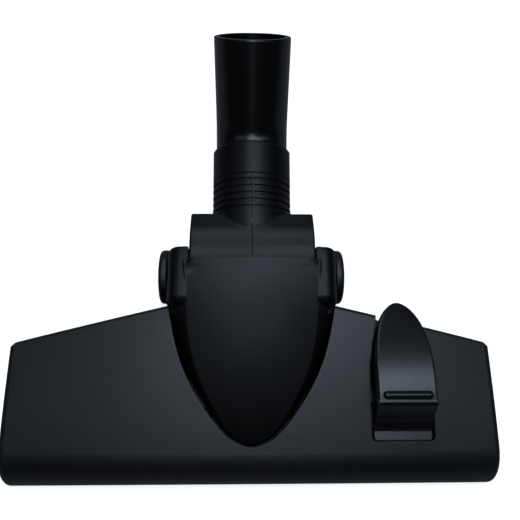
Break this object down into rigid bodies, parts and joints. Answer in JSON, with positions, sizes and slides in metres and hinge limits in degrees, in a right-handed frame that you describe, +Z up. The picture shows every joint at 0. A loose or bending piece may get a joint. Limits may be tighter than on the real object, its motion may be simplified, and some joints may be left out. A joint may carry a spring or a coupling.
{
  "type": "vacuum floor brush head",
  "caption": "Wide floor head for a vacuum cleaner: low raked housing, wheeled centre carriage, tilting neck with bent swivel tube, and a foot pedal that lowers brush strips.",
  "frame": {"origin": "on the sole's flat land behind the suction channel, on the head's centre line, at floor level", "axes": "+X to the pedal's side, which is the right seen from the front; +Y back towards the neck; +Z up"},
  "size_m": [0.2558, 0.2362, 0.0912],
  "materials": {
    "housing_black": "satin, finely textured black",
    "cover_black": "satin black",
    "sole_black": "satin black, worn smooth on the lands",
    "neck_black": "satin black",
    "tube_black": "smooth black, drawn finish",
    "pedal_black": "smooth black",
    "wheel_black": "plain black",
    "carrier_grey": "dark grey moulding",
    "ring_white": "white slide ring",
    "lifter": "short red pile",
    "bristle": "dark bristles",
    "steel": "plain steel",
    "pin_black": "blackened steel"
  },
  "bodies": {
    "head": {"top_housing": "housing_black", "base_plate": "sole_black", "base_screws": "steel", "thread_lifter_left": "lifter", "thread_lifter_right": "lifter", "pedal_axle": "pin_black"},
    "carriage": {"carriage_cover": "cover_black", "carriage_base": "cover_black", "carriage_screws": "steel", "carriage_pin_left": "pin_black", "carriage_pin_right": "pin_black", "wheel_axle_left": "steel", "wheel_axle_right": "steel"},
    "left_wheel": {"wheel_left": "wheel_black"},
    "right_wheel": {"wheel_right": "wheel_black"},
    "neck": {"neck_shell_left": "neck_black", "neck_shell_right": "neck_black", "collar_sleeve": "neck_black", "swivel_ring": "ring_white"},
    "tube": {"swivel_tube": "tube_black"},
    "pedal": {"pedal": "pedal_black", "lever_pin": "steel"},
    "brush": {"brush_carrier": "carrier_grey", "bristles_front": "bristle", "bristles_rear_right": "bristle", "bristles_rear_left": "bristle"}
  },
  "joints": [
    {"name": "carriage_tilt", "type": "hinge", "parent": "head", "child": "carriage", "pos_m": [0, -0.014, 0.017], "axis": [1, 0, 0], "range_deg": [-4.5, 4.5]},
    {"name": "neck_tilt", "type": "hinge", "parent": "carriage", "child": "neck", "pos_m": [0, 0.065, 0.0305], "axis": [1, 0, 0], "range_deg": [0, 42]},
    {"name": "tube_swivel", "type": "hinge", "parent": "neck", "child": "tube", "pos_m": [0, 0.12442, 0.03885], "axis": [0, 0.9903, 0.1392], "continuous": true},
    {"name": "wheel_left_spin", "type": "hinge", "parent": "carriage", "child": "left_wheel", "pos_m": [-0.0483, 0.0597, 0.015], "axis": [1, 0, 0], "continuous": true},
    {"name": "wheel_right_spin", "type": "hinge", "parent": "carriage", "child": "right_wheel", "pos_m": [0.0483, 0.0597, 0.015], "axis": [1, 0, 0], "continuous": true},
    {"name": "pedal_rock", "type": "hinge", "parent": "head", "child": "pedal", "pos_m": [0.077, 0.013, 0.0255], "axis": [1, 0, 0], "range_deg": [0, 16]},
    {"name": "brush_lift", "type": "slide", "parent": "head", "child": "brush", "axis": [0, 0, -1], "range_m": [0, 0.0057]}
  ],
  "couplings": [
    {"joint": "brush_lift", "follows": "pedal_rock", "m_per_rad": 0.019936}
  ]
}
